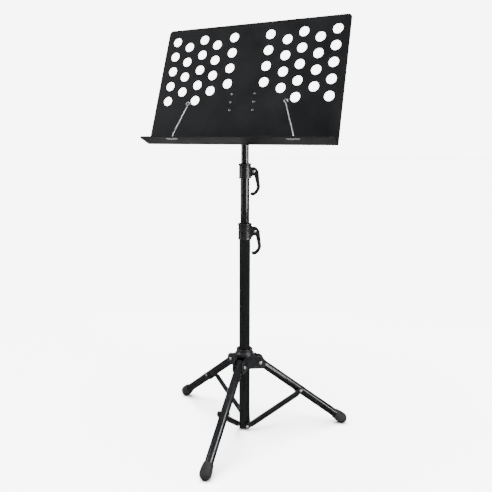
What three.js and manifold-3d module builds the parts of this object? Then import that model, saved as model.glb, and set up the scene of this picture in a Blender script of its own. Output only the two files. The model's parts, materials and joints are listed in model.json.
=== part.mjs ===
// A folding music stand: a perforated sheet desk with a page tray, a three-section tube with two
// lever clamps, and a tripod whose hub slides up the tube to fold the legs.
// Millimetres, +Z up. The origin is the centre of the plug under the tube, on the tube's axis.
// The desk faces -Y, and its left and right sides mirror each other across X = 0.
import * as THREE from "three";
import { mergeVertices } from "three/addons/utils/BufferGeometryUtils.js";
import Module from "manifold-3d";

const wasm = await Module();
wasm.setup();

// ---- driving dimensions ----
const GAP = 0.3; // between faces that touch on the real stand
const FLOOR = -4; // the floor under the feet
const ROUND = 24; // facets round a tube
const SMALL_ROUND = 12; // facets round a pin
const ARC = 4; // steps along a quarter-turn or so of a plate's round corner

const LEG_AZIMUTHS = { right: 37, rear: 157, front: 277 }; // degrees from +X
const LEVER_AZIMUTH = 30;

const LOWER_TUBE = { r: 12.5, wall: 1.2, z0: 2, z1: 473 };
const MIDDLE_TUBE = { r: 10.1, wall: 1.1, z0: 170, z1: 607 };
const UPPER_TUBE = { r: 8.7, wall: 1.0, z0: 240, z1: 715 };

const PRESSED_FLAT = 9.3; // from the axis to each flat pressed in the lower tube's end
const PRESSED_CORNER = 13.6;
const PRESSED_TOP = 16; // the end is fully three-sided up to here
const BLEND_TOP = 42; // and round again from here

const LEG_PIVOT = { r: 35, z: 160 };
const LEG_LENGTH = 251; // pivot to the centre of the foot's round end
const LEG_FALL = 37.1; // degrees below level when open
const LEG_TUBE = { r: 9.5, wall: 1.2, tail: 12 };
const FOOT = { r: 13, mouth: 21 };

const STRUT_PIVOT = { r: 4, z: 7 };
const JOINT_ALONG = 120; // strut joint, along the leg from its pivot
const SADDLE = { outer: 11.7, half: 6 };
const STRUT = { inner: 12.8, web: 1.5, flange: 3.2, sheet: 1.3, height: 12 };

const HUB = { bore: 12.9, sleeve: 16.5, flange: 21.5, ear0: 10, ear: 2.4, earLength: 47 };
const HUB_TOP = 193;
const HUB_SCREW_AZIMUTH = 7;

const LOWER_CLAMP = { top: 484, height: 36, tube: LOWER_TUBE, slider: MIDDLE_TUBE, r: 14.8, pin: 21.8 };
const UPPER_CLAMP = { top: 618, height: 33, tube: MIDDLE_TUBE, slider: UPPER_TUBE, r: 13.2, pin: 18.6 };
const CLAMP_PIN_DROP = 17.6; // from the collar's top to the lever's pin
const CLAMP_EAR = { r: 9.6, y0: 4.4, y1: 6.9 };
const LEVER_HALF = 4;
const PIN_R = 2.3;

const DESK_PIVOT_Z = 745.5;
const DESK_LEAN = 18.7; // degrees back from upright
const DESK = { bottom: 452, top: 441, height: 279, sheet: 1.2, corner: 9 };
const DESK_DROP = 94.6; // from the tilt pivot down to the bend
const DESK_FORWARD = 15.5; // from the tilt pivot forward to the desk's front face
const TRAY = { depth: 42, rise: 8.2, front: 458, corner: 9, hem: 4, hemSheet: 1.2 };

const HOLE_R = 10.8;
const HOLE_PITCH = 36.4;
const HOLE_TOP = 248.6; // the top row, above the bend
const HOLE_COLUMNS = [
  { x: 44.0, holes: 4, drop: 0 },
  { x: 85.2, holes: 4, drop: 14.8 },
  { x: 120.8, holes: 5, drop: 0 },
  { x: 158.6, holes: 4, drop: 14.8 },
  { x: 193.9, holes: 5, drop: 0 },
];
const RIVET = { x: 28, rows: [77.3, 95.6, 113.9], r: 1.9, head: 3.1, hole: 2.3 };

const TONGUE = { half: 8, r: 9 };
const CHEEK = { x0: 8.4, x1: 10.4, r: 11 };
const BRACKET = { width: 76, height: 62, sheet: 2 };
const BOLT_R = 3;
const KNOB = { x0: 12.6, x1: 24.4, r: 9, lobe: 2.6, lobes: 5 };

const WIRE = { r: 1.25, hole: 2.1, x: 143, n: 33.4, lean: 21, length: 78, eye: 3.4 };
const CLIP = { length: 30, width: 8, sheet: 1.4 };

// ---- finishes ----
const finishOf = (color, roughness, metalness) =>
  new THREE.MeshStandardMaterial({ color, roughness, metalness });
const powder = finishOf(0x17191a, 0.55, 0.25);
const gloss = finishOf(0x101213, 0.25, 0.35);
const steel = finishOf(0xb9bcbe, 0.3, 0.9);
const rubber = finishOf(0x141515, 0.8, 0.0);
const plastic = finishOf(0x0e0f10, 0.4, 0.0);
const paleZinc = finishOf(0x9fa3a5, 0.4, 0.8);

// ---- solids ----
const degrees = THREE.MathUtils.degToRad;

function solidOf(geometry) {
  const g = geometry.index ? geometry.toNonIndexed() : geometry.clone();
  g.deleteAttribute("normal");
  g.deleteAttribute("uv");
  const merged = mergeVertices(g, 1e-4);
  return new wasm.Manifold(
    new wasm.Mesh({
      numProp: 3,
      vertProperties: merged.attributes.position.array,
      triVerts: new Uint32Array(merged.index.array),
    }),
  );
}

function geometryOf(solid) {
  const mesh = solid.getMesh();
  const g = new THREE.BufferGeometry();
  g.setAttribute("position", new THREE.BufferAttribute(new Float32Array(mesh.vertProperties), 3));
  g.setIndex(new THREE.BufferAttribute(new Uint32Array(mesh.triVerts), 1));
  g.computeVertexNormals();
  return g;
}

const join = (...pieces) => geometryOf(pieces.map(solidOf).reduce((a, b) => a.add(b)));
const cut = (piece, ...tools) =>
  geometryOf(tools.map(solidOf).reduce((a, b) => a.subtract(b), solidOf(piece)));

// A solid turned about Z from [radius, z] points that run anticlockwise and close on themselves.
function turned(profile, facets = ROUND) {
  const points = [...profile, profile[0]].map(([r, z]) => new THREE.Vector2(Math.max(r, 0), z));
  return new THREE.LatheGeometry(points, facets).rotateX(Math.PI / 2);
}

const ringOf = (inner, outer, z0, z1, facets = ROUND) =>
  turned([[inner, z0], [outer, z0], [outer, z1], [inner, z1]], facets);
const discOf = (r, z0, z1, facets = SMALL_ROUND) => turned([[0, z0], [r, z0], [r, z1], [0, z1]], facets);

const alongX = (geometry) => geometry.rotateY(Math.PI / 2);
// Turns +Z to -Y, so a pin made along Z lies along Y.
const alongMinusY = (geometry) => geometry.rotateX(Math.PI / 2);

const boxOf = (x0, x1, y0, y1, z0, z1) =>
  new THREE.BoxGeometry(x1 - x0, y1 - y0, z1 - z0).translate((x0 + x1) / 2, (y0 + y1) / 2, (z0 + z1) / 2);

const plateOf = (shape, z0, z1, curveSegments = ARC) =>
  new THREE.ExtrudeGeometry(shape, { depth: z1 - z0, bevelEnabled: false, curveSegments })
    .translate(0, 0, z0);

// A shape drawn in X and Z, given thickness along Y.
const slabOf = (shape, y0, y1, curveSegments = ARC) =>
  new THREE.ExtrudeGeometry(shape, { depth: y1 - y0, bevelEnabled: false, curveSegments })
    .rotateX(Math.PI / 2)
    .translate(0, y1, 0);

function mesh(name, geometry, material) {
  const m = new THREE.Mesh(geometry, material);
  m.name = name;
  return m;
}

function groupAt({ x = 0, y = 0, z = 0, turn = 0 }, ...children) {
  const g = new THREE.Group();
  g.position.set(x, y, z);
  g.rotation.z = degrees(turn);
  g.add(...children);
  return g;
}

// ---- tubes ----
// The lower tube's outline: round above, and pressed to three flats that face each strut below.
function pressedRadius(angle, z) {
  const toFlat = THREE.MathUtils.euclideanModulo(angle - LEG_AZIMUTHS.right + 90 + 60, 120) - 60;
  const flat = Math.min(PRESSED_FLAT / Math.cos(degrees(toFlat)), PRESSED_CORNER);
  const round = THREE.MathUtils.smoothstep(z, PRESSED_TOP, BLEND_TOP);
  return THREE.MathUtils.lerp(flat, LOWER_TUBE.r, round);
}

function lowerTube() {
  const levels = [LOWER_TUBE.z0, PRESSED_TOP, 23, 29, 35, BLEND_TOP, LOWER_TUBE.z1];
  const facets = 36;
  const skins = [0, -LOWER_TUBE.wall].map((offset) =>
    levels.map((z) =>
      Array.from({ length: facets }, (_, i) => {
        const angle = LEG_AZIMUTHS.right + (360 / facets) * i;
        const r = pressedRadius(angle, z) + offset;
        return [r * Math.cos(degrees(angle)), r * Math.sin(degrees(angle)), z];
      }),
    ),
  );
  const loops = [...skins[0], ...skins[1].reverse()];
  const corners = [];
  loops.forEach((loop, k) => {
    const next = loops[(k + 1) % loops.length];
    loop.forEach((a, i) => {
      const j = (i + 1) % facets;
      corners.push(a, loop[j], next[j], a, next[j], next[i]);
    });
  });
  const tube = new THREE.BufferGeometry();
  tube.setAttribute("position", new THREE.Float32BufferAttribute(corners.flat(), 3));
  const rivetHoles = Object.values(LEG_AZIMUTHS).map((azimuth) =>
    alongMinusY(discOf(PIN_R + GAP + 0.1, 5, 14))
      .translate(STRUT_PIVOT.r, 0, STRUT_PIVOT.z)
      .rotateZ(degrees(azimuth)),
  );
  return cut(tube, ...rivetHoles);
}

const plainTube = ({ r, wall, z0, z1 }) => ringOf(r - wall, r, z0, z1);

function endPlug() {
  const outline = (inset) => {
    const points = Array.from({ length: 36 }, (_, i) => {
      const angle = 10 * i;
      const r = pressedRadius(angle, 0) - inset;
      return new THREE.Vector2(r * Math.cos(degrees(angle)), r * Math.sin(degrees(angle)));
    });
    return new THREE.Shape(points);
  };
  const cap = plateOf(outline(0.4), 0, LOWER_TUBE.z0 - GAP);
  const spigot = plateOf(outline(LOWER_TUBE.wall + GAP + 0.3), 1, 3.6);
  return join(cap, spigot);
}

// A plastic guide in the bottom end of a sliding tube, a running fit in the tube round it.
function guideOf(tube, outside) {
  const inner = tube.r - tube.wall;
  const z = tube.z0 - GAP;
  return turned([
    [inner - 1.6, z - 9],
    [outside, z - 9],
    [outside, z],
    [inner - GAP, z],
    [inner - GAP, z + 12],
    [inner - 1.6, z + 12],
  ]);
}

// ---- lever clamps ----
function clampCollar({ top, height, tube, slider, r, pin }) {
  const z0 = top - height;
  const seat = tube.z1 + GAP;
  const neck = slider.r + 3.4;
  const sleeve = turned([
    [tube.r + GAP, z0],
    [r + 0.5, z0],
    [r + 0.6, z0 + 2.5],
    [r, z0 + 4],
    [r, top - 5],
    [r + 1.1, top - 2.5],
    [r + 1.0, top],
    [neck, top],
    [neck, top - 9],
    [tube.r + GAP, seat],
  ]);
  const pinZ = top - CLAMP_PIN_DROP;
  const ear = new THREE.Shape();
  ear.moveTo(r - 2.2, pinZ - 15);
  ear.lineTo(r + 0.6, pinZ - 14);
  ear.lineTo(pin - 2.6, pinZ - CLAMP_EAR.r + 0.4);
  ear.absarc(pin, pinZ, CLAMP_EAR.r, -1.84, 1.9, false);
  ear.lineTo(r - 0.4, pinZ + 12);
  ear.lineTo(r - 2.2, pinZ + 12);
  ear.closePath();
  const ears = [
    slabOf(ear, CLAMP_EAR.y0, CLAMP_EAR.y1),
    slabOf(ear, -CLAMP_EAR.y1, -CLAMP_EAR.y0),
  ];
  const pinHole = alongMinusY(discOf(PIN_R + GAP, -12, 12)).translate(pin, 0, pinZ);
  const bore = discOf(tube.r + GAP, z0 - 1, seat, ROUND);
  const split = boxOf(tube.r - 3, r + 4, -1, 1, z0 - 1, top + 1);
  return cut(join(sleeve, ...ears), bore, pinHole, split);
}

// A flanged bush in the collar's neck, round the sliding tube.
function clampBush({ top, slider }) {
  const inner = slider.r + 0.2;
  const neck = slider.r + 3.4;
  return turned([
    [inner, top - 8],
    [neck - GAP, top - 8],
    [neck - GAP, top + 0.3],
    [inner + 1.4, top + 0.9],
    [inner, top + 0.9],
  ]);
}

// The lever in side view: a round head on the pin, a stem that drops outward, and a hooked finger end.
function clampLever({ top, pin }) {
  const pinZ = top - CLAMP_PIN_DROP;
  const at = (x, z) => new THREE.Vector2(pin + x, pinZ + z);
  const side = new THREE.Shape();
  const head = 4.5;
  const start = at(3.7, 2.6);
  side.moveTo(start.x, start.y);
  side.absarc(pin, pinZ, head, degrees(35), degrees(285), false);
  side.splineThru([at(2.6, -11), at(5.6, -24), at(7.6, -33), at(6.8, -38.5), at(3.6, -44), at(-0.4, -47)]);
  side.splineThru([at(-3.6, -46.6), at(-6, -48.6), at(-6.4, -51.8), at(-3.4, -54)]);
  side.splineThru([
    at(2, -53.2), at(7, -49.8), at(11.2, -44.8), at(14, -39), at(15, -33), at(13.6, -22), at(11.6, 0),
  ]);
  side.lineTo(pin + 11, pinZ + 1.8);
  side.closePath();
  const lever = slabOf(side, -LEVER_HALF, LEVER_HALF, 3);
  return cut(lever, alongMinusY(discOf(PIN_R + GAP, -9, 9)).translate(pin, 0, pinZ));
}

function clampPin({ top, pin }) {
  const e = CLAMP_EAR.y1 + GAP;
  const rivet = turned(
    [
      [0, -e - 1.5], [2.6, -e - 1.3], [3.6, -e], [PIN_R, -e],
      [PIN_R, e], [3.6, e], [2.6, e + 1.3], [0, e + 1.5],
    ],
    SMALL_ROUND,
  );
  return alongMinusY(rivet).translate(pin, 0, top - CLAMP_PIN_DROP);
}

function clampSet(label, size) {
  return groupAt(
    { turn: LEVER_AZIMUTH },
    mesh(`${label}_clamp_collar`, clampCollar(size), plastic),
    mesh(`${label}_clamp_bush`, clampBush(size), plastic),
    mesh(`${label}_clamp_lever`, clampLever(size), plastic),
    mesh(`${label}_clamp_pin`, clampPin(size), steel),
  );
}

// ---- tripod ----
function hubBracket() {
  const { r, z } = LEG_PIVOT;
  const bottom = z - 14;
  const top = HUB_TOP - 14.5;
  const sleeve = turned([
    [HUB.bore, bottom],
    [HUB.sleeve, bottom],
    [HUB.sleeve, top - 2.4],
    [HUB.flange, top - 2.4],
    [HUB.flange, top],
    [HUB.bore, top],
  ]);
  const ear = new THREE.Shape();
  ear.moveTo(HUB.ear0, bottom);
  ear.lineTo(HUB.earLength - 6, bottom);
  ear.lineTo(HUB.earLength, bottom + 6);
  ear.lineTo(HUB.earLength, z);
  ear.absarc(HUB.earLength - 13, z + 1, 13, 0, Math.PI / 2, false);
  ear.lineTo(HUB.flange - 2, top);
  ear.lineTo(HUB.ear0, top);
  ear.closePath();
  const near = LEG_TUBE.r + 0.5;
  const ears = Object.values(LEG_AZIMUTHS).flatMap((azimuth) =>
    [near, -near - HUB.ear].map((y) => slabOf(ear, y, y + HUB.ear).rotateZ(degrees(azimuth))),
  );
  const pinHoles = Object.values(LEG_AZIMUTHS).map((azimuth) =>
    alongMinusY(discOf(3.3, -20, 20)).translate(r, 0, z).rotateZ(degrees(azimuth)),
  );
  const bore = discOf(HUB.bore, bottom - 1, top + 1, ROUND);
  return cut(join(sleeve, ...ears), bore, ...pinHoles);
}

function hubRing() {
  const z0 = HUB_TOP - 14.2;
  const ring = turned([
    [HUB.bore, z0],
    [21.6, z0],
    [22, z0 + 1.2],
    [21.4, z0 + 4.6],
    [18.8, z0 + 7.4],
    [18.4, HUB_TOP - 2.6],
    [19.2, HUB_TOP - 1.4],
    [18.6, HUB_TOP],
    [15.2, HUB_TOP],
    [HUB.bore, HUB_TOP - 2],
  ]);
  const hole = alongX(discOf(1.9, 10, 30)).translate(0, 0, HUB_TOP - 9).rotateZ(degrees(HUB_SCREW_AZIMUTH));
  return cut(ring, hole);
}

function hubScrew() {
  const screw = turned([[0, 13.2], [1.6, 13.2], [1.6, 21.9], [3.2, 21.9], [3.0, 23.4], [0, 24]], SMALL_ROUND);
  return alongX(screw).translate(0, 0, HUB_TOP - 9).rotateZ(degrees(HUB_SCREW_AZIMUTH));
}

function legPin() {
  const e = LEG_TUBE.r + 0.5 + HUB.ear + GAP;
  const rivet = turned(
    [
      [0, -e - 1.2], [2.2, -e - 1.7], [4.4, -e - 0.8], [4.6, -e], [3, -e],
      [3, e], [4.6, e], [4.4, e + 0.8], [2.2, e + 1.7], [0, e + 1.2],
    ],
    SMALL_ROUND,
  );
  return alongMinusY(rivet);
}

function legTube() {
  const tube = alongX(ringOf(LEG_TUBE.r - LEG_TUBE.wall, LEG_TUBE.r, -LEG_TUBE.tail, LEG_LENGTH));
  const rivetHole = alongMinusY(discOf(PIN_R + GAP, -12, 12)).translate(JOINT_ALONG, 0, 0);
  return cut(tube, alongMinusY(discOf(3.3, -12, 12)), rivetHole);
}

function foot() {
  const bore = LEG_TUBE.r + GAP;
  const cap = [[bore, -FOOT.mouth], [11.2, -FOOT.mouth], [11.8, -16], [12.9, -9], [FOOT.r, 0]];
  for (let i = 1; i < 6; i++) {
    const a = (Math.PI / 12) * i;
    cap.push([FOOT.r * Math.cos(a), FOOT.r * Math.sin(a)]);
  }
  cap.push([0, FOOT.r], [0, GAP], [bore, GAP]);
  return alongX(turned(cap)).translate(LEG_LENGTH, 0, 0);
}

// The strap under the leg, with an ear on each side for the rivet through the leg.
function legSaddle() {
  const { outer, half } = SADDLE;
  const inner = LEG_TUBE.r + GAP;
  const band = new THREE.Shape();
  band.moveTo(outer, 0);
  band.absarc(0, 0, outer, 0, -Math.PI, true);
  band.lineTo(-inner, 0);
  band.absarc(0, 0, inner, -Math.PI, 0, false);
  band.closePath();
  // The band is drawn looking along the leg, then laid along it.
  const strap = plateOf(band, -half, half).rotateX(Math.PI / 2).rotateZ(Math.PI / 2);
  const thick = outer - inner;
  const ears = [inner, -outer].map((y) => alongMinusY(discOf(half, 0, thick)).translate(0, y + thick, 0));
  const hole = alongMinusY(discOf(PIN_R + GAP, -20, 20));
  return cut(join(strap, ...ears), hole).translate(JOINT_ALONG, 0, 0);
}

// The rivet through the leg and its saddle, with its head on the side away from the strut.
function saddleRivet() {
  const face = SADDLE.outer + GAP;
  const rivet = turned(
    [
      [0, -face - 1.5], [2.4, -face - 1.4], [3.7, -face - 0.7], [3.9, -face],
      [PIN_R, -face], [PIN_R, SADDLE.outer - 0.1], [0, SADDLE.outer - 0.1],
    ],
    SMALL_ROUND,
  );
  return alongMinusY(rivet).translate(JOINT_ALONG, 0, 0);
}

// A pressed channel that opens outward, with flat round ends for its two rivets.
function strut(length) {
  const { inner, web, flange, sheet, height } = STRUT;
  const half = height / 2;
  const side = new THREE.Shape();
  side.absarc(length, 0, half, -Math.PI / 2, Math.PI / 2, false);
  side.absarc(0, 0, half, Math.PI / 2, (3 * Math.PI) / 2, false);
  side.closePath();
  const back = slabOf(side, -inner - web, -inner);
  const y0 = -inner - web - flange;
  const lips = [half - sheet, -half].map((z) => boxOf(9, length - 9, y0, -inner - 0.2, z, z + sheet));
  const holes = [0, length].map((x) => alongMinusY(discOf(PIN_R + GAP, 10, 20)).translate(x, 0, 0));
  return cut(join(back, ...lips), ...holes);
}

// A rivet along -Y with its head outside the strut. The lower one has a spacer against the tube's flat.
function strutRivet(start, spacer) {
  const face = STRUT.inner + STRUT.web + GAP;
  const profile = [[0, start], [PIN_R, start]];
  if (spacer) {
    const [near, far] = [PRESSED_FLAT + GAP, STRUT.inner - GAP];
    profile.push([PIN_R, near], [4.4, near], [4.4, far], [PIN_R, far]);
  }
  profile.push([PIN_R, face], [4.1, face], [3.9, face + 0.9], [2.4, face + 1.6], [0, face + 1.7]);
  return alongMinusY(turned(profile, SMALL_ROUND));
}

function tripodLeg(name, azimuth) {
  const fall = degrees(LEG_FALL);
  const leg = groupAt(
    { x: LEG_PIVOT.r, z: LEG_PIVOT.z },
    mesh(`${name}_leg`, legTube(), gloss),
    mesh(`${name}_foot`, cutAtFloor(foot(), fall), rubber),
    mesh(`${name}_leg_saddle`, legSaddle(), powder),
    mesh(`${name}_saddle_rivet`, saddleRivet(), steel),
  );
  leg.rotation.y = fall;
  const jointX = LEG_PIVOT.r + JOINT_ALONG * Math.cos(fall);
  const jointZ = LEG_PIVOT.z - JOINT_ALONG * Math.sin(fall);
  const dx = jointX - STRUT_PIVOT.r;
  const dz = jointZ - STRUT_PIVOT.z;
  const length = Math.hypot(dx, dz);
  const brace = groupAt(
    { x: STRUT_PIVOT.r, z: STRUT_PIVOT.z },
    mesh(`${name}_strut`, strut(length), powder),
    mesh(`${name}_strut_outer_rivet`, strutRivet(12, false).translate(length, 0, 0), steel),
    mesh(`${name}_strut_inner_rivet`, strutRivet(6.6, true), steel),
  );
  brace.rotation.y = -Math.atan2(dz, dx);
  const pin = mesh(`${name}_leg_pin`, legPin().translate(LEG_PIVOT.r, 0, LEG_PIVOT.z), steel);
  return groupAt({ turn: azimuth }, leg, brace, pin);
}

// Flattens the foot where it meets the floor, in the leg's own turned frame.
function cutAtFloor(geometry, fall) {
  const below = boxOf(100, 400, -40, 40, FLOOR - 60, FLOOR)
    .translate(-LEG_PIVOT.r, 0, -LEG_PIVOT.z)
    .rotateY(-fall);
  return cut(geometry, below);
}

// ---- desk ----
function deskHoles() {
  const holes = [];
  for (const { x, holes: count, drop } of HOLE_COLUMNS)
    for (const side of [-1, 1])
      for (let row = 0; row < count; row++) {
        holes.push([side * x, HOLE_TOP - drop - row * HOLE_PITCH, HOLE_R]);
      }
  return holes;
}

const rivetPlaces = RIVET.rows.flatMap((row) => [-RIVET.x, RIVET.x].map((x) => [x, row]));

function roundHole(x, y, r) {
  const hole = new THREE.Path();
  hole.absarc(x, y, r, 0, 2 * Math.PI, false);
  return hole;
}

// Drawn from the bend: X to the right, Y up the desk, Z toward the reader, with the front face at Z = 0.
function deskSheet() {
  const { bottom, top, height, sheet, corner } = DESK;
  const panel = new THREE.Shape();
  panel.moveTo(-bottom / 2, -sheet);
  panel.lineTo(bottom / 2, -sheet);
  panel.lineTo(top / 2, height - corner);
  panel.absarc(top / 2 - corner, height - corner, corner, 0, Math.PI / 2, false);
  panel.absarc(-top / 2 + corner, height - corner, corner, Math.PI / 2, Math.PI, false);
  panel.closePath();
  for (const [x, y, r] of deskHoles()) panel.holes.push(roundHole(x, y, r));
  for (const [x, y] of rivetPlaces) panel.holes.push(roundHole(x, y, RIVET.hole));
  const upright = plateOf(panel, -sheet, 0, 7);
  return join(upright, trayFloor(), trayHem());
}

// The tray is drawn flat, X across and Y from the bend to its front edge, then folded up.
function trayOutline(y0, y1, half0, half1, corner) {
  const tray = new THREE.Shape();
  tray.moveTo(-half0, y0);
  tray.lineTo(half0, y0);
  tray.lineTo(half1, y1 - corner);
  tray.absarc(half1 - corner, y1 - corner, corner, 0, Math.PI / 2, false);
  tray.absarc(-half1 + corner, y1 - corner, corner, Math.PI / 2, Math.PI, false);
  tray.closePath();
  return tray;
}

// Turns the flat tray's +Y to face the reader, rising by the tray's own angle.
const folded = (geometry) => geometry.rotateX(Math.PI / 2 - degrees(TRAY.rise));

function trayFloor() {
  const tray = trayOutline(-DESK.sheet, TRAY.depth, DESK.bottom / 2, TRAY.front / 2, TRAY.corner);
  for (const side of [-1, 1]) tray.holes.push(roundHole(side * WIRE.x, WIRE.n, WIRE.hole));
  return folded(plateOf(tray, 0, DESK.sheet));
}

// The front edge is folded under, a second thickness along it.
function trayHem() {
  const half = TRAY.front / 2 - TRAY.corner;
  const top = DESK.sheet + TRAY.hemSheet;
  const strip = boxOf(-half, half, TRAY.depth - TRAY.hem, TRAY.depth, DESK.sheet - 0.1, top);
  return folded(strip);
}

function deskBracket() {
  const back = -DESK.sheet - GAP;
  const front = new THREE.Shape();
  const w = BRACKET.width / 2;
  const h = BRACKET.height / 2;
  front.moveTo(-w, -h);
  front.lineTo(w, -h);
  front.lineTo(w, h);
  front.lineTo(-w, h);
  front.closePath();
  for (const [x, y] of rivetPlaces) front.holes.push(roundHole(x, y - DESK_DROP, RIVET.hole));
  const web = plateOf(front, back - BRACKET.sheet, back);
  const cheek = new THREE.Shape();
  cheek.moveTo(back - 1, -22);
  cheek.lineTo(back - 1, 22);
  cheek.lineTo(-DESK_FORWARD - 4, CHEEK.r - 1);
  cheek.absarc(-DESK_FORWARD, 0, CHEEK.r, 1.9, 4.38, false);
  cheek.closePath();
  // Drawn with the desk's Z across and Y up, then stood on edge at each side of the tongue.
  const cheeks = [CHEEK.x0, -CHEEK.x1].map((x) =>
    plateOf(cheek, 0, CHEEK.x1 - CHEEK.x0).rotateY(-Math.PI / 2).translate(x + CHEEK.x1 - CHEEK.x0, 0, 0),
  );
  const bolt = alongX(discOf(BOLT_R + GAP, -20, 20)).translate(0, 0, -DESK_FORWARD);
  return cut(join(web, ...cheeks), bolt).translate(0, DESK_DROP, 0);
}

function deskRivet(x, y) {
  const { r, head } = RIVET;
  const back = -DESK.sheet - BRACKET.sheet - 2 * GAP;
  const profile = [
    [0, back - 1.4], [head - 0.8, back - 1.2], [head, back], [r, back],
    [r, GAP], [head, GAP], [head - 0.7, GAP + 1], [0, GAP + 1.5],
  ];
  return turned(profile, 12).translate(x, y, 0);
}

function tiltBolt() {
  const profile = [[0, -14.6], [5.4, -14.6], [5.4, -10.7], [BOLT_R, -10.7], [BOLT_R, 23], [0, 23]];
  const head = turned(profile, SMALL_ROUND);
  return alongX(head).translate(0, DESK_DROP, -DESK_FORWARD);
}

const tiltWasher = () => alongX(ringOf(BOLT_R + GAP, 6.8, 10.8, 12.2)).translate(0, DESK_DROP, -DESK_FORWARD);

function tiltKnob() {
  const outline = new THREE.Shape();
  const steps = 60;
  for (let i = 0; i < steps; i++) {
    const a = (2 * Math.PI * i) / steps;
    const r = KNOB.r + (KNOB.lobe / 2) * (1 + Math.cos(KNOB.lobes * a)) - 1;
    if (i === 0) outline.moveTo(r, 0);
    else outline.lineTo(r * Math.cos(a), r * Math.sin(a));
  }
  outline.closePath();
  const grip = plateOf(outline, KNOB.x0 + 4, KNOB.x1);
  const boss = discOf(6.6, KNOB.x0, KNOB.x0 + 5, ROUND);
  const hole = discOf(BOLT_R + GAP, KNOB.x0 - 1, KNOB.x1 + 1);
  return alongX(cut(join(grip, boss), hole)).translate(0, DESK_DROP, -DESK_FORWARD);
}

// A page wire: a straight foot through the tray, a bend, a leaning arm and an eye at its tip.
function pageWire(side) {
  const lean = degrees(WIRE.lean) * -side;
  const bendZ = 5;
  const tip = new THREE.Vector3(Math.sin(lean) * WIRE.length, bendZ + Math.cos(lean) * WIRE.length, 0);
  const along = new THREE.Vector3(Math.sin(lean), Math.cos(lean), 0);
  const across = new THREE.Vector3(along.y, -along.x, 0).multiplyScalar(-side);
  const points = [new THREE.Vector3(0, -4.2, 0), new THREE.Vector3(0, 2, 0)];
  for (let i = 0; i <= 3; i++) {
    const run = 3 + (i * (WIRE.length - 12)) / 3;
    points.push(new THREE.Vector3(0, bendZ, 0).addScaledVector(along, run));
  }
  const eye = tip.clone();
  for (let i = 0; i <= 8; i++) {
    const a = degrees(-70 + 38 * i);
    points.push(
      eye
        .clone()
        .addScaledVector(along, WIRE.eye * Math.sin(a))
        .addScaledVector(across, WIRE.eye * Math.cos(a) - WIRE.eye * 0.35),
    );
  }
  const section = new THREE.Shape();
  section.absarc(0, 0, WIRE.r, 0, 2 * Math.PI, false);
  const path = new THREE.CatmullRomCurve3(points, false, "centripetal");
  const sweep = { steps: 30, bevelEnabled: false, extrudePath: path, curveSegments: 4 };
  return new THREE.ExtrudeGeometry(section, sweep);
}

function pageClip() {
  const r = CLIP.width / 2;
  const half = CLIP.length / 2 - r;
  const shape = new THREE.Shape();
  shape.absarc(half, 0, r, -Math.PI / 2, Math.PI / 2, false);
  shape.absarc(-half, 0, r, Math.PI / 2, (3 * Math.PI) / 2, false);
  shape.closePath();
  shape.holes.push(roundHole(0, 0, WIRE.hole));
  return plateOf(shape, DESK.sheet + GAP, DESK.sheet + GAP + CLIP.sheet);
}

function desk() {
  // Everything on the desk shares the frame of the bend line.
  const wires = [["left", -1], ["right", 1]].map(([label, side]) => {
    const wire = mesh(`${label}_page_wire`, pageWire(side), steel);
    const rise = degrees(TRAY.rise);
    wire.position.set(side * WIRE.x, WIRE.n * Math.sin(rise), WIRE.n * Math.cos(rise));
    const clip = mesh(`${label}_page_clip`, folded(pageClip().translate(0, WIRE.n, 0)), paleZinc);
    clip.position.x = side * WIRE.x;
    return [wire, clip];
  });
  const rivets = rivetPlaces.map(([x, y], i) => mesh(`desk_rivet_${i + 1}`, deskRivet(x, y), paleZinc));
  const g = new THREE.Group();
  g.add(
    mesh("desk_sheet", deskSheet(), powder),
    mesh("desk_bracket", deskBracket(), powder),
    mesh("tilt_bolt", tiltBolt(), steel),
    mesh("tilt_washer", tiltWasher(), steel),
    mesh("tilt_knob", tiltKnob(), plastic),
    ...rivets,
    ...wires.flat(),
  );
  const turn = degrees(90 - DESK_LEAN);
  g.rotation.x = turn;
  // The tilt pivot, in the bend's frame, comes to the top of the tube.
  const pivot = new THREE.Vector3(0, DESK_DROP, -DESK_FORWARD).applyEuler(g.rotation);
  g.position.set(0, -pivot.y, DESK_PIVOT_Z - pivot.z);
  return g;
}

function headPost() {
  const bore = UPPER_TUBE.r - UPPER_TUBE.wall;
  const seat = UPPER_TUBE.z1 + GAP;
  const stem = turned([
    [0, seat - 26],
    [bore - GAP, seat - 26],
    [bore - GAP, seat],
    [10.2, seat],
    [10.2, seat + 5],
    [9, seat + 6.5],
    [0, seat + 6.5],
  ]);
  const neck = boxOf(-TONGUE.half, TONGUE.half, -7, 7, seat + 5, DESK_PIVOT_Z);
  const eye = alongX(discOf(TONGUE.r, -TONGUE.half, TONGUE.half, ROUND)).translate(0, 0, DESK_PIVOT_Z);
  const hole = alongX(discOf(BOLT_R + GAP, -10, 10)).translate(0, 0, DESK_PIVOT_Z);
  return cut(join(stem, neck, eye), hole);
}

// ---- the whole stand ----
const stand = new THREE.Group();
stand.add(
  mesh("lower_tube", lowerTube(), powder),
  mesh("tube_end_plug", endPlug(), plastic),
  mesh("middle_tube", plainTube(MIDDLE_TUBE), powder),
  mesh("middle_tube_guide", guideOf(MIDDLE_TUBE, LOWER_TUBE.r - LOWER_TUBE.wall - GAP), plastic),
  mesh("upper_tube", plainTube(UPPER_TUBE), gloss),
  mesh("upper_tube_guide", guideOf(UPPER_TUBE, MIDDLE_TUBE.r - MIDDLE_TUBE.wall - 0.1), plastic),
  clampSet("lower", LOWER_CLAMP),
  clampSet("upper", UPPER_CLAMP),
  mesh("hub_bracket", hubBracket(), powder),
  mesh("hub_ring", hubRing(), plastic),
  mesh("hub_screw", hubScrew(), steel),
  ...Object.entries(LEG_AZIMUTHS).map(([name, azimuth]) => tripodLeg(name, azimuth)),
  mesh("head_post", headPost(), plastic),
  desk(),
);

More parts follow.
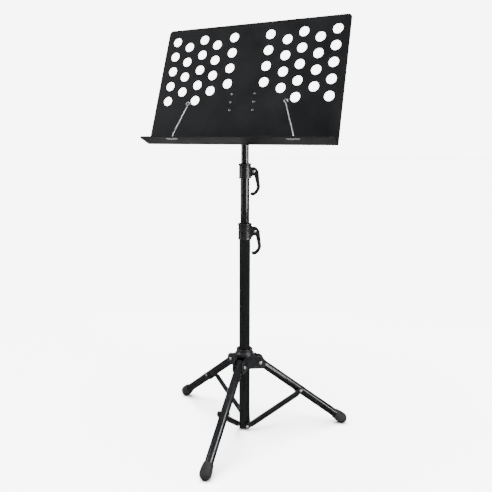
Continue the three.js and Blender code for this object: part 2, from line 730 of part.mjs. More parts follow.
export default stand;
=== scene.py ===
# %% [markdown]
# # A folding music stand
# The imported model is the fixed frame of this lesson. Each piece of the stand is drawn again here with the
# fine edges, bends and finishes of the real one, in the place where the frame says that piece is.

# %% Open the frame
import json
import math

import bmesh
import bpy
from mathutils import Matrix, Vector
from mathutils.geometry import tessellate_polygon


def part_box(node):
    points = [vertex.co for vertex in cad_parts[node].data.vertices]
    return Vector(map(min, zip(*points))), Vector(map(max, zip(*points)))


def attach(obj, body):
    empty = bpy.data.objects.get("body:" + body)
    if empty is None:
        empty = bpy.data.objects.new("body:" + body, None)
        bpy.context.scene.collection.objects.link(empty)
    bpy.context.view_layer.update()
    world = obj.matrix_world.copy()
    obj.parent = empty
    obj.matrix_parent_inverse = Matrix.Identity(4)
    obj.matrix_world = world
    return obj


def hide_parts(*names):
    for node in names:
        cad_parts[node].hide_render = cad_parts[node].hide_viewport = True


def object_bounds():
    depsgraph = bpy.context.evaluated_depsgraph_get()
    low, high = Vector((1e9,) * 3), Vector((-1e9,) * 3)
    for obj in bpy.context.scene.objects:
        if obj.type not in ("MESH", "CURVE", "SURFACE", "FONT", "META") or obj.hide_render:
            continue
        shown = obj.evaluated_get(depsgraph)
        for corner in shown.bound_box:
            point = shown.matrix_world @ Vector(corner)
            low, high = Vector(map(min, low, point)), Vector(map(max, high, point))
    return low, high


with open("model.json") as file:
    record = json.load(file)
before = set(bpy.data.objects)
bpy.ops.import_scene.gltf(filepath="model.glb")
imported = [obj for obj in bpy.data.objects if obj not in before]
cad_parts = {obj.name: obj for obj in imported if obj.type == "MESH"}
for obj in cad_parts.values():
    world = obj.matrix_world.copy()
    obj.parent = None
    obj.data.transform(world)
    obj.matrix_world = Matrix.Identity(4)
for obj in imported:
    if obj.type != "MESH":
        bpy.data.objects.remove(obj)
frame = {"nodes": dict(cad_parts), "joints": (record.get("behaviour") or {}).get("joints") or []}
cad_low, cad_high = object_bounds()
joints = {joint["name"]: joint for joint in frame["joints"]}

# %% [markdown]
# ## Where things are
# A maker works from a few places on the stand: the tilt pivot, the fold line of the desk, the clamp pins and
# the leg pins. They come from the joints and boxes of the frame and from a few sizes of the stand, so nothing
# has to be fitted afterwards. Each place gets a small coordinate frame of its own, because a leg is easier to
# draw lying along X. A small gap is left wherever two pieces would touch.

# %% Work in millimetres and give each place its own frame
MM = 0.001
GAP = 0.3 * MM
LEGS = ("right", "rear", "front")
LEG_FALL = math.radians(37.1)
DESK_LEAN = math.radians(18.7)
DESK_DROP = 94.6 * MM
DESK_FORWARD = 15.5 * MM


def frame_from(origin, x, y, z):
    axes = Matrix((x, y, z)).transposed().to_4x4()
    return Matrix.Translation(origin) @ axes


def leg_axes(leg):
    tangent = Vector(joints[f"{leg}_leg_fold"]["axis"])
    outward = Vector((tangent.y, -tangent.x, 0))
    return outward, tangent


def leg_frame(leg):
    outward, tangent = leg_axes(leg)
    along = outward * math.cos(LEG_FALL) - Vector((0, 0, math.sin(LEG_FALL)))
    square = outward * math.sin(LEG_FALL) + Vector((0, 0, math.cos(LEG_FALL)))
    return frame_from(Vector(joints[f"{leg}_leg_fold"]["pos_m"]), along, tangent, square)


def upright_axes(leg):
    outward, tangent = leg_axes(leg)
    return outward, tangent, Vector((0, 0, 1))


def upright_frame(leg):
    return frame_from(Vector((0, 0, 0)), *upright_axes(leg))


def clamp_frame(lever_joint):
    axis = Vector(joints[lever_joint]["axis"])
    outward = Vector((-axis.y, axis.x, 0))
    return frame_from(Vector((0, 0, 0)), outward, -axis, Vector((0, 0, 1)))


tilt_pivot = Vector(joints["desk_tilt"]["pos_m"])
desk_up = Vector((0, math.sin(DESK_LEAN), math.cos(DESK_LEAN)))
desk_front = Vector((0, -math.cos(DESK_LEAN), math.sin(DESK_LEAN)))
fold_line = tilt_pivot - desk_up * DESK_DROP + desk_front * DESK_FORWARD
DESK = frame_from(fold_line, Vector((1, 0, 0)), desk_up, desk_front)
print("the desk folds along the line at", [round(v, 4) for v in fold_line])

# %% [markdown]
# ## The camera
# The camera comes first, because the finishes are judged through it. It stands a little to the right of the
# stand and just above the tray, and looks slightly down. A small shift of the lens puts the stand in the
# middle of the square without turning the camera, so the tubes stay upright.

# %% Set up the camera
CAMERA_PLACE = Vector((0.6152, -1.2424, 0.6954))
CAMERA_TURN = math.radians(30.5)
CAMERA_DOWN = math.radians(7.99)
CAMERA_ROLL = math.radians(-0.44)
LENS, SENSOR = 45.61, 36
LENS_SHIFT = (0.0935, -0.061)
FARTHEST = 60


def add_camera():
    right = Vector((math.cos(CAMERA_TURN), math.sin(CAMERA_TURN), 0))
    level = Vector((-math.sin(CAMERA_TURN), math.cos(CAMERA_TURN), 0))
    ahead = level * math.cos(CAMERA_DOWN) - Vector((0, 0, math.sin(CAMERA_DOWN)))
    down = ahead.cross(right)
    image_right = right * math.cos(CAMERA_ROLL) - down * math.sin(CAMERA_ROLL)
    image_down = right * math.sin(CAMERA_ROLL) + down * math.cos(CAMERA_ROLL)
    data = bpy.data.cameras.new("camera")
    data.sensor_width = SENSOR
    data.lens = LENS
    data.shift_x, data.shift_y = LENS_SHIFT
    data.clip_end = FARTHEST
    camera = bpy.data.objects.new("camera", data)
    bpy.context.scene.collection.objects.link(camera)
    camera.matrix_world = frame_from(CAMERA_PLACE, image_right, -image_down, -ahead)
    bpy.context.scene.camera = camera
    return camera


print("lens", add_camera().data.lens, "mm")

# %% [markdown]
# ## Light and floor
# Black paint is only seen by what it mirrors, so tall strip lights at the sides draw the bright lines down
# the tubes, and a low light behind the stand shows the underside of the tray. A soft light from above
# brightens the floor. Mirrored in the paint, the bright floor would turn it grey, so the paint doesn't
# reflect the floor or the top light, which is what black flags do in a studio. The surround looks pale to
# the camera but casts little light. The floor is one plain sheet, far larger than the view.


# %% Lay the floor and hang the lights
FLOOR_Z = cad_low[2]
COLUMN_MIDDLE = (0, 0, 0.6)


def add_floor():
    half = 14.0
    corners = [(x, y, FLOOR_Z) for x, y in ((-half, -half), (half, -half), (half, half), (-half, half))]
    data = bpy.data.meshes.new("floor")
    data.from_pydata(corners, [], [(0, 1, 2, 3)])
    floor = bpy.data.objects.new("floor", data)
    bpy.context.scene.collection.objects.link(floor)
    paint = bpy.data.materials.new("pale_floor")
    paint.use_nodes = True
    shader = paint.node_tree.nodes["Principled BSDF"]
    shader.inputs["Base Color"].default_value = (0.86, 0.86, 0.86, 1)
    shader.inputs["Roughness"].default_value = 0.9
    shader.inputs["Specular IOR Level"].default_value = 0.1
    floor.data.materials.append(paint)
    floor.visible_glossy = False
    return floor


def add_light(name, place, target, width, height, watts):
    data = bpy.data.lights.new(name, "AREA")
    data.shape = "RECTANGLE"
    data.size = width
    data.size_y = height
    data.energy = watts
    light = bpy.data.objects.new(name, data)
    bpy.context.scene.collection.objects.link(light)
    light.location = place
    light.rotation_euler = (Vector(target) - Vector(place)).to_track_quat("-Z", "Y").to_euler()
    light.visible_camera = False
    return light


def add_sun(strength):
    data = bpy.data.lights.new("soft_top", "SUN")
    data.energy = strength
    data.angle = math.radians(60)
    sun = bpy.data.objects.new("soft_top", data)
    bpy.context.scene.collection.objects.link(sun)
    sun.rotation_euler = (math.radians(8), math.radians(-6), 0)
    sun.visible_glossy = False
    return sun


def add_surround(seen, cast):
    """A pale surround to look at, which casts less light on the stand than it shows."""
    world = bpy.data.worlds.new("surround")
    world.use_nodes = True
    tree = world.node_tree
    back = tree.nodes["Background"]
    back.inputs["Color"].default_value = (1, 1, 1, 1)
    rays = tree.nodes.new("ShaderNodeLightPath")
    level = tree.nodes.new("ShaderNodeMapRange")
    level.inputs["To Min"].default_value = cast
    level.inputs["To Max"].default_value = seen
    tree.links.new(rays.outputs["Is Camera Ray"], level.inputs["Value"])
    tree.links.new(level.outputs["Result"], back.inputs["Strength"])
    bpy.context.scene.world = world


add_floor()
add_surround(seen=7.5, cast=0.12)
add_sun(strength=27)
add_light("left_strip", (-1.81, -1.06, 1.25), COLUMN_MIDDLE, width=0.14, height=2.2, watts=26)
add_light("right_strip", (1.97, -0.74, 1.25), COLUMN_MIDDLE, width=0.26, height=2.2, watts=58)
add_light("leg_strip", (1.95, 0.12, 0.95), (0, 0, 0.3), width=0.14, height=1.5, watts=30)
add_light("low_back", (-0.5, 0.8, 0.03), (0, -0.1, 0.67), width=1.0, height=0.8, watts=4.5)
print("floor and lights are in")

# %% [markdown]
# ## Finishes
# Each finish is built from nodes in the object's own coordinates, so its grain keeps its real size on every
# piece. Real paint is never one value: the roughness drifts where hands have been and the coat has a fine
# orange peel. A finish is a fixed shader with noise on its colour, its roughness and its bump.


# %% A helper that lays fine grain over a shader
NOISE_LOW, NOISE_HIGH = 0.3, 0.7
RELIEF = 0.1 * MM


def ramp_of(tree, source, low, high):
    ramp = tree.nodes.new("ShaderNodeMapRange")
    ramp.inputs["From Min"].default_value = NOISE_LOW
    ramp.inputs["From Max"].default_value = NOISE_HIGH
    ramp.inputs["To Min"].default_value = low
    ramp.inputs["To Max"].default_value = high
    tree.links.new(source, ramp.inputs["Value"])
    return ramp.outputs["Result"]


def noise_of(tree, grain, stretch=(1, 1, 1), detail=3.0):
    place = tree.nodes.new("ShaderNodeTexCoord")
    scale = tree.nodes.new("ShaderNodeMapping")
    scale.inputs["Scale"].default_value = stretch
    noise = tree.nodes.new("ShaderNodeTexNoise")
    noise.inputs["Scale"].default_value = 1.0 / grain
    noise.inputs["Detail"].default_value = detail
    tree.links.new(place.outputs["Object"], scale.inputs["Vector"])
    tree.links.new(scale.outputs["Vector"], noise.inputs["Vector"])
    return noise.outputs["Fac"]


def colour_of(tree, source, dark, light):
    mix = tree.nodes.new("ShaderNodeMix")
    mix.data_type = "RGBA"
    mix.inputs["A"].default_value = (*dark, 1)
    mix.inputs["B"].default_value = (*light, 1)
    tree.links.new(source, mix.inputs["Factor"])
    return mix.outputs["Result"]


def finish_of(
    name, dark, light, rough, patch, grain, bump, metal=0.0, specular=0.5, stretch=(1, 1, 1)
):
    """A painted, moulded or plated finish: patches of colour and gloss, with fine grain in its bump."""
    material = bpy.data.materials.new(name)
    material.use_nodes = True
    tree = material.node_tree
    shader = tree.nodes["Principled BSDF"]
    shader.inputs["Metallic"].default_value = metal
    shader.inputs["Specular IOR Level"].default_value = specular
    patches = noise_of(tree, patch, stretch)
    fine = noise_of(tree, grain, stretch, detail=2.0)
    tree.links.new(colour_of(tree, ramp_of(tree, patches, 0, 1), dark, light), shader.inputs["Base Color"])
    tree.links.new(ramp_of(tree, patches, *rough), shader.inputs["Roughness"])
    relief = tree.nodes.new("ShaderNodeBump")
    relief.inputs["Strength"].default_value = bump
    relief.inputs["Distance"].default_value = RELIEF
    tree.links.new(fine, relief.inputs["Height"])
    tree.links.new(relief.outputs["Normal"], shader.inputs["Normal"])
    return material


# %% [markdown]
# The desk and the pressings are powder coated: a satin black with a fine even pebble. The tubes carry a
# smoother gloss paint, polished along their length by the clamps. The mouldings are a semi-gloss plastic,
# the wires and rivets are plated, and the feet are plain rubber, a little dusty.

# %% Mix the finishes
powder = finish_of(
    "satin_powder_coat", (0.0022, 0.0023, 0.0025), (0.0038, 0.0040, 0.0043),
    rough=(0.46, 0.60), patch=60 * MM, grain=0.7 * MM, bump=0.30, specular=0.12,
)
dark_pressing = finish_of(
    "dark_pressing_coat", (0.0035, 0.0037, 0.0040), (0.0065, 0.0068, 0.0072),
    rough=(0.32, 0.46), patch=18 * MM, grain=0.6 * MM, bump=0.30, specular=0.25,
)
gloss = finish_of(
    "gloss_tube_paint", (0.0018, 0.0019, 0.0021), (0.0034, 0.0036, 0.0039),
    rough=(0.08, 0.14), patch=30 * MM, grain=0.5 * MM, bump=0.02, specular=0.5, stretch=(1, 1, 0.12),
)
moulding = finish_of(
    "moulded_black_plastic", (0.0026, 0.0026, 0.0028), (0.0046, 0.0046, 0.0050),
    rough=(0.22, 0.34), patch=9 * MM, grain=0.35 * MM, bump=0.16, specular=0.5,
)
plated = finish_of(
    "bright_plating", (0.74, 0.75, 0.76), (0.88, 0.89, 0.90),
    rough=(0.32, 0.42), patch=9 * MM, grain=0.6 * MM, bump=0.03, metal=1.0,
)
zinc = finish_of(
    "pale_zinc_plate", (0.22, 0.23, 0.235), (0.36, 0.37, 0.375),
    rough=(0.32, 0.46), patch=3 * MM, grain=0.4 * MM, bump=0.12, metal=1.0,
)
rubber = finish_of(
    "black_foot_rubber", (0.0040, 0.0040, 0.0039), (0.0090, 0.0089, 0.0085),
    rough=(0.62, 0.80), patch=8 * MM, grain=0.45 * MM, bump=0.50, specular=0.20,
)
print("finishes:", [m.name for m in (powder, dark_pressing, gloss, moulding, plated, zinc, rubber)])

# %% [markdown]
# ## Ways of making a piece
# Four ways of working cover almost the whole stand, as in a workshop. A turned piece is a closed profile
# spun round an axis. A slab is an outline cut from plate, with holes. A wire is a round section drawn along
# a path. And pieces are welded or drilled with booleans. Corners and edges are eased, because an edge with
# no radius catches no light and looks false.


# %% Outlines: arcs, circles and eased corners
def arc(x, y, radius, start, end, steps=12):
    angles = [math.radians(start + (end - start) * i / steps) for i in range(steps + 1)]
    return [(x + radius * math.cos(a), y + radius * math.sin(a)) for a in angles]


def circle(x, y, radius, steps=40):
    return arc(x, y, radius, 0, 360 - 360 / steps, steps - 1)


def eased(points, radius, steps=3):
    """Rounds the corners of a closed outline, never by more than 0.4 of the shorter edge at a corner."""
    loop = [Vector(p) for p in points]
    soft = []
    for i, corner in enumerate(loop):
        before, after = loop[i - 1] - corner, loop[(i + 1) % len(loop)] - corner
        turn = before.angle(-after, 0) if before.length > 1e-9 and after.length > 1e-9 else 0
        if turn < math.radians(25):
            soft.append(tuple(corner))
            continue
        reach = min(radius, 0.4 * before.length, 0.4 * after.length)
        a, b = corner + before.normalized() * reach, corner + after.normalized() * reach
        for k in range(steps + 1):
            t = k / steps
            soft.append(tuple(a * (1 - t) ** 2 + corner * 2 * t * (1 - t) + b * t * t))
    return soft


def smooth_curve(points, steps=6):
    """A smooth open curve through the points, as a spring batten would lie."""
    loop = [Vector(p) for p in points]
    path = []
    for i in range(len(loop) - 1):
        a, b = loop[max(i - 1, 0)], loop[i]
        c, d = loop[i + 1], loop[min(i + 2, len(loop) - 1)]
        for k in range(steps):
            t = k / steps
            bow = (2 * a - 5 * b + 4 * c - d) * t * t
            twist = (3 * b - a - 3 * c + d) * t**3
            path.append(0.5 * (2 * b + (c - a) * t + bow + twist))
    path.append(loop[-1])
    return [tuple(p) for p in path]


# %% Turn meshes into finished pieces
SHARP = math.radians(38)


def object_of(name, vertices, faces):
    data = bpy.data.meshes.new(name)
    data.from_pydata([tuple(v) for v in vertices], [], faces)
    tidy = bmesh.new()
    tidy.from_mesh(data)
    bmesh.ops.remove_doubles(tidy, verts=tidy.verts, dist=1e-6)
    bmesh.ops.dissolve_degenerate(tidy, edges=tidy.edges, dist=1e-7)
    bmesh.ops.recalc_face_normals(tidy, faces=tidy.faces)
    tidy.to_mesh(data)
    tidy.free()
    thing = bpy.data.objects.new(name, data)
    bpy.context.scene.collection.objects.link(thing)
    return thing


def settle(thing):
    """Keeps the shape that the modifiers give, and drops the modifiers."""
    graph = bpy.context.evaluated_depsgraph_get()
    made = bpy.data.meshes.new_from_object(thing.evaluated_get(graph))
    thing.modifiers.clear()
    thing.data = made
    return thing


def moved(thing, matrix):
    """Moves the mesh itself, and turns its faces out again if the move mirrors it."""
    thing.data.transform(matrix)
    if matrix.determinant() < 0:
        thing.data.flip_normals()
    return thing


def combine(thing, tool, operation):
    change = thing.modifiers.new(operation.lower(), "BOOLEAN")
    change.operation = operation
    change.solver = "EXACT"
    change.object = tool
    settle(thing)
    bpy.data.objects.remove(tool)
    return thing


def weld(thing, *tools):
    for tool in tools:
        combine(thing, tool, "UNION")
    return thing


def drill(thing, *tools):
    for tool in tools:
        combine(thing, tool, "DIFFERENCE")
    return thing


def ease_edges(thing, width, segments=2, angle=40):
    ease = thing.modifiers.new("eased edges", "BEVEL")
    ease.width = width
    ease.segments = segments
    ease.limit_method = "ANGLE"
    ease.angle_limit = math.radians(angle)
    ease.use_clamp_overlap = True
    return settle(thing)


def hand_over(thing, place, material, slot, body, *nodes):
    """Puts a piece in its place, gives it its finish and its body, and hides the nodes of the frame that it
    stands for.
    """
    moved(thing, place)
    thing.data.materials.clear()
    thing.data.materials.append(material)
    thing.data.shade_smooth()
    thing.data.set_sharp_from_angle(angle=SHARP)
    level = thing.modifiers.new("flat faces stay flat", "WEIGHTED_NORMAL")
    level.keep_sharp = True
    level.weight = 100
    settle(thing)
    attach(thing, body)
    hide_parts(*nodes)
    return thing


# %% The four ways of making a shape
def turned(name, profile, steps=72):
    """Spins a closed profile of (radius, height) points about Z."""
    vertices, faces = [], []
    count = len(profile)
    for i in range(steps):
        angle = 2 * math.pi * i / steps
        vertices += [(r * math.cos(angle), r * math.sin(angle), z) for r, z in profile]
    for i in range(steps):
        for k in range(count):
            a, b = i * count + k, i * count + (k + 1) % count
            c, d = ((i + 1) % steps) * count + (k + 1) % count, ((i + 1) % steps) * count + k
            faces.append((a, b, c, d))
    return object_of(name, vertices, faces)


def slab(name, outline, holes, low, high):
    """Cuts a plate between two heights from an outline in X and Y."""
    loops = [outline, *holes]
    flat = [point for loop in loops for point in loop]
    count = len(flat)
    triangles = tessellate_polygon([[Vector((x, y, 0)) for x, y in loop] for loop in loops])
    vertices = [(x, y, low) for x, y in flat] + [(x, y, high) for x, y in flat]
    faces = [tuple(t) for t in triangles] + [tuple(i + count for i in reversed(t)) for t in triangles]
    start = 0
    for loop in loops:
        size = len(loop)
        for i in range(size):
            a, b = start + i, start + (i + 1) % size
            faces.append((a, b, b + count, a + count))
        start += size
    return object_of(name, vertices, faces)


def wire(name, path, radius, sides):
    """Draws a round wire along a path."""
    data = bpy.data.curves.new(name, "CURVE")
    data.dimensions = "3D"
    data.bevel_depth = radius
    data.bevel_resolution = sides // 4
    data.use_fill_caps = True
    spline = data.splines.new("POLY")
    spline.points.add(len(path) - 1)
    for point, place in zip(spline.points, path):
        point.co = (*place, 1)
    thing = bpy.data.objects.new(name, data)
    bpy.context.scene.collection.objects.link(thing)
    graph = bpy.context.evaluated_depsgraph_get()
    made = bpy.data.meshes.new_from_object(thing.evaluated_get(graph))
    bpy.data.objects.remove(thing)
    vertices = [tuple(v.co) for v in made.vertices]
    return object_of(name, vertices, [tuple(p.vertices) for p in made.polygons])


# Made along Z, then laid along X or along -Y.
ALONG_X = Matrix.Rotation(math.pi / 2, 4, "Y")
ALONG_MINUS_Y = Matrix.Rotation(math.pi / 2, 4, "X")
# An outline drawn in X and Y, laid in Y and Z with its thickness along X.
CROSSWAYS = Matrix(((0, 0, 1, 0), (1, 0, 0, 0), (0, 1, 0, 0), (0, 0, 0, 1)))
# An outline drawn in X and Y, laid in X and Z with its thickness along Y.
ON_EDGE = Matrix(((1, 0, 0, 0), (0, 0, 1, 0), (0, 1, 0, 0), (0, 0, 0, 1)))


def rod(radius, low, high, matrix, steps=48):
    return moved(turned("rod", [(0, low), (radius, low), (radius, high), (0, high)], steps), matrix)


def shift(x=0.0, y=0.0, z=0.0):
    return Matrix.Translation((x, y, z))


print("turned, slab, wire and weld are ready")

# %% [markdown]
# ## The desk sheet
# The desk is one piece of sheet steel, punched flat and then folded: once for the tray, and once more under
# the tray's front edge, where a hem hides the raw edge. It could be built as two plates that meet, but then
# the fold would have no radius. Here the blank is cut flat, given extra lines where it bends, and folded.

# %% Cut and fold the desk
SHEET = 1.2 * MM
DESK_HEIGHT = 279 * MM
HALF_BOTTOM, HALF_TOP, HALF_TRAY = 226 * MM, 220.5 * MM, 229 * MM
TRAY_DEPTH = 42 * MM
TRAY_RISE = math.radians(8.2)
FOLD_R = 1.5 * MM
HEM_R = SHEET + 0.06 * MM
HEM_BACK = 3.4 * MM
DESK_CORNER = 9 * MM
HOLE_R = 10.8 * MM
HOLE_PITCH = 36.4 * MM
HOLE_TOP = 248.6 * MM
HOLE_COLUMNS = ((44.0, 4, 0), (85.2, 4, 14.8), (120.8, 5, 0), (158.6, 4, 14.8), (193.9, 5, 0))
RIVET_ROWS = (77.3 * MM, 95.6 * MM, 113.9 * MM)
RIVET_X = 28 * MM
RIVET_HOLE_R = 2.3 * MM
WIRE_X, WIRE_N = 143 * MM, 33.4 * MM
WIRE_HOLE_R = 2.1 * MM

fold_turn = math.pi / 2 + TRAY_RISE
fold_reach = FOLD_R * math.tan(fold_turn / 2)
fold_arc = FOLD_R * fold_turn
hem_start = fold_arc + TRAY_DEPTH - HEM_R - fold_reach
hem_arc = HEM_R * math.pi
tray_along = Vector((0, math.sin(TRAY_RISE), math.cos(TRAY_RISE)))
tray_up = Vector((0, math.cos(TRAY_RISE), -math.sin(TRAY_RISE)))


def on_desk(height):
    return height - fold_reach


def on_tray(depth):
    return -(fold_arc + depth - fold_reach)


def fold(x, s, depth):
    """Where a point of the flat blank lands: s runs up the desk from the fold, depth is into the sheet."""
    if s >= 0:
        place, normal = Vector((0, fold_reach + s, 0)), Vector((0, 0, 1))
    elif -s <= fold_arc:
        a = -s / FOLD_R
        normal = Vector((0, math.sin(a), math.cos(a)))
        place = Vector((0, fold_reach, FOLD_R)) - FOLD_R * normal
    elif -s <= hem_start:
        place, normal = tray_along * (fold_reach - s - fold_arc), tray_up
    else:
        a = min((-s - hem_start) / HEM_R, math.pi)
        normal = tray_along * math.sin(a) + tray_up * math.cos(a)
        place = tray_along * (TRAY_DEPTH - HEM_R) - tray_up * HEM_R + normal * HEM_R
        place = place - tray_along * max(-s - hem_start - hem_arc, 0)
    return place + normal * depth + Vector((x, 0, 0))


def desk_blank():
    top, corner = on_desk(DESK_HEIGHT), DESK_CORNER
    front, flap = -hem_start, -hem_start - hem_arc - HEM_BACK
    right = arc(HALF_TRAY - corner, front + corner, corner, 270, 360, 10)
    right = [(HALF_TRAY - corner - 2 * MM, flap), (HALF_TRAY - corner - 1 * MM, front), *right]
    right += [(HALF_BOTTOM, -fold_arc), (HALF_BOTTOM, 0)]
    right += arc(HALF_TOP - corner, top - corner, corner, 0, 90, 12)
    return right + [(-x, y) for x, y in reversed(right)]


def desk_holes():
    holes = []
    for x, count, drop in HOLE_COLUMNS:
        for side in (-1, 1):
            for row in range(count):
                height = HOLE_TOP - drop * MM - row * HOLE_PITCH
                holes.append(circle(side * x * MM, on_desk(height), HOLE_R, 44))
    for y in RIVET_ROWS:
        holes += [circle(side * RIVET_X, on_desk(y), RIVET_HOLE_R, 16) for side in (-1, 1)]
    holes += [circle(side * WIRE_X, on_tray(WIRE_N), WIRE_HOLE_R, 20) for side in (-1, 1)]
    return holes


def fold_lines():
    lines = [-fold_arc * k / 8 for k in range(9)]
    lines += [-hem_start - hem_arc * k / 8 for k in range(9)]
    return lines


def add_desk_sheet():
    sheet = slab("folded_desk", desk_blank(), desk_holes(), -SHEET, 0)
    work = bmesh.new()
    work.from_mesh(sheet.data)
    for s in fold_lines():
        everything = work.verts[:] + work.edges[:] + work.faces[:]
        bmesh.ops.bisect_plane(work, geom=everything, plane_co=(0, s, 0), plane_no=(0, 1, 0), dist=1e-7)
    for vertex in work.verts:
        vertex.co = fold(*vertex.co)
    work.to_mesh(sheet.data)
    work.free()
    ease_edges(sheet, 0.28 * MM, 2, 50)
    return hand_over(sheet, DESK, powder, "powder_coat", "desk", "desk_sheet")


desk_sheet = add_desk_sheet()
print("the desk has", len(desk_sheet.data.polygons), "faces")

# %% [markdown]
# ## Rivets, page clips and page wires
# Six pale rivets hold the bracket behind the desk. A rivet's head is a low dome on a short straight rim, so
# it is turned. The two page wires are bent from one length of round wire each, with an eye at the tip: the
# wire is drawn along its bent path. Each turns in a flat oval clip under the tray, with a hole for the wire.

# %% Set the six rivets
BRACKET_SHEET = 2 * MM
RIVET_SHANK, RIVET_HEAD, RIVET_DOME = 1.9 * MM, 3.1 * MM, 1.3 * MM


def rivet_profile(shank, head, dome, low, high):
    """A rivet from its tail at low to the underside of its head at high."""
    tail = [(0, low - dome * 0.8), (head * 0.55, low - dome * 0.7)]
    tail += [(head * 0.92, low - dome * 0.3), (head, low)]
    cap = arc(0, 0, 1, 8, 90, 7)
    crown = [(head * x, high + dome * (0.12 + 0.88 * y)) for x, y in cap]
    return tail + [(shank, low), (shank, high), (head, high)] + crown


def add_desk_rivets():
    tail = -SHEET - BRACKET_SHEET - 2 * GAP
    number = 1
    for y in RIVET_ROWS:
        for side in (-1, 1):
            profile = rivet_profile(RIVET_SHANK, RIVET_HEAD, RIVET_DOME, tail, GAP)
            rivet = turned(f"sheet_rivet_{number}", profile, 40)
            place = DESK @ shift(side * RIVET_X, y, 0)
            hand_over(rivet, place, zinc, "pale_zinc", "desk", f"desk_rivet_{number}")
            number += 1
    print("set", number - 1, "rivets")


add_desk_rivets()

# %% Bend the page wires and their clips
WIRE_R = 1.2 * MM
WIRE_LEAN = math.radians(21)
WIRE_LENGTH = 78 * MM
WIRE_TAIL, WIRE_RISE, WIRE_BEND = 4.1 * MM, 1.5 * MM, 5 * MM
EYE_R = 3.4 * MM
EYE_START, EYE_SWEEP, EYE_STEPS = -70, 304, 26
CLIP_SHEET = 1.4 * MM


def wire_path(side):
    lean = -side * WIRE_LEAN
    along = Vector((math.sin(lean), math.cos(lean), 0))
    across = Vector((along.y, -along.x, 0)) * -side
    bend = Vector((0, WIRE_BEND, 0))
    path = [Vector((0, -WIRE_TAIL, 0)), Vector((0, WIRE_RISE, 0))]
    for k in range(7):
        t = k / 6
        start, end = Vector((0, WIRE_RISE, 0)), bend + along * 4 * MM
        path.append(start * (1 - t) ** 2 + bend * 2 * t * (1 - t) + end * t * t)
    eye = bend + along * WIRE_LENGTH - across * EYE_R * 0.35
    path.append(bend + along * (WIRE_LENGTH - 9 * MM))
    for k in range(EYE_STEPS + 1):
        a = math.radians(EYE_START + EYE_SWEEP * k / EYE_STEPS)
        path.append(eye + (along * math.sin(a) + across * math.cos(a)) * EYE_R)
    return path


def wire_foot(side):
    offset = tray_along * WIRE_N
    return shift(side * WIRE_X, offset.y, offset.z)


def clip_shape():
    half, end = 11 * MM, 3.9 * MM
    return arc(half, 0, end, -90, 90, 12) + arc(-half, 0, end, 90, 270, 12)


def add_page_wire(side, label):
    bent = wire(f"{label}_bent_wire", wire_path(side), WIRE_R, 20)
    hand_over(bent, DESK @ wire_foot(side), plated, "bright_wire", f"{label}_wire", f"{label}_page_wire")
    hole, top = circle(0, 0, WIRE_HOLE_R, 24), -SHEET - GAP
    clip = slab(f"{label}_wire_clip", clip_shape(), [hole], top - CLIP_SHEET, top)
    ease_edges(clip, 0.35 * MM, 3)
    tray = frame_from(Vector((0, 0, 0)), Vector((1, 0, 0)), tray_along, tray_up)
    hand_over(clip, DESK @ wire_foot(side) @ tray, zinc, "pale_zinc", "desk", f"{label}_page_clip")


for side, label in ((-1, "left"), (1, "right")):
    add_page_wire(side, label)
print("both page wires are", round(WIRE_LENGTH / MM), "mm long above the tray")

# %% [markdown]
# ## The bracket behind the desk
# The bracket is a pressing with two cheeks that hold the tongue of the head post between them. The post ends
# in a round eye, and one bolt goes through both cheeks and the eye. The knob has five soft lobes, so that
# fingers can turn it, and its outline is one cosine round a circle.

# %% Press the bracket and turn the post
CHEEK_IN, CHEEK_OUT = 8.4 * MM, 10.4 * MM
BOLT_R = 3 * MM
PIVOT = DESK @ shift(0, DESK_DROP, -DESK_FORWARD)


def add_bracket():
    back = -SHEET - GAP
    half_w, half_h = 38 * MM, 31 * MM
    outline = eased([(-half_w, -half_h), (half_w, -half_h), (half_w, half_h), (-half_w, half_h)], 5 * MM, 6)
    holes = [circle(s * RIVET_X, y - DESK_DROP, RIVET_HOLE_R, 16) for y in RIVET_ROWS for s in (-1, 1)]
    web = slab("pressed_bracket", outline, holes, back - BRACKET_SHEET, back)
    cheek = [(back - 1 * MM, -22 * MM), (back - 1 * MM, 22 * MM)]
    cheek += arc(-DESK_FORWARD, 0, 10.8 * MM, 106, 254, 18)
    for x in (CHEEK_IN, -CHEEK_OUT):
        side = slab("cheek", cheek, [circle(-DESK_FORWARD, 0, BOLT_R + GAP, 24)], 0, CHEEK_OUT - CHEEK_IN)
        upright = Matrix.Rotation(-math.pi / 2, 4, "Y")
        weld(web, moved(side, shift(x + CHEEK_OUT - CHEEK_IN) @ upright))
    ease_edges(web, 0.4 * MM, 2, 50)
    return hand_over(web, DESK @ shift(0, DESK_DROP), powder, "powder_coat", "desk", "desk_bracket")


def add_head_post():
    low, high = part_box("head_post")
    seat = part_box("upper_tube")[1].z + GAP
    stem = [(0, low.z), (7.2 * MM, low.z), (7.4 * MM, seat), (10.1 * MM, seat), (10.1 * MM, seat + 5 * MM)]
    stem += [(8.8 * MM, seat + 6.4 * MM), (0, seat + 6.4 * MM)]
    post = turned("head_post_moulding", eased(stem, 0.8 * MM), 64)
    z = tilt_pivot.z
    tongue = [(-7 * MM, seat + 5 * MM), (7 * MM, seat + 5 * MM), (7.6 * MM, z - 5 * MM)]
    tongue += arc(0, z, 8.9 * MM, -20, 200, 28) + [(-7.6 * MM, z - 5 * MM)]
    neck = slab("tongue", tongue, [circle(0, z, BOLT_R + GAP, 24)], -8 * MM, 8 * MM)
    weld(post, moved(neck, CROSSWAYS))
    ease_edges(post, 0.5 * MM, 2, 50)
    return hand_over(post, Matrix.Identity(4), moulding, "clamp_plastic", "tilt_head", "head_post")


print("bracket:", len(add_bracket().data.polygons), "faces; post:", len(add_head_post().data.polygons))

# %% Add the tilt bolt, its washer and the knob
KNOB_LOW, KNOB_HIGH = 12.6 * MM, 24.4 * MM
KNOB_BOSS_R = 6.5 * MM


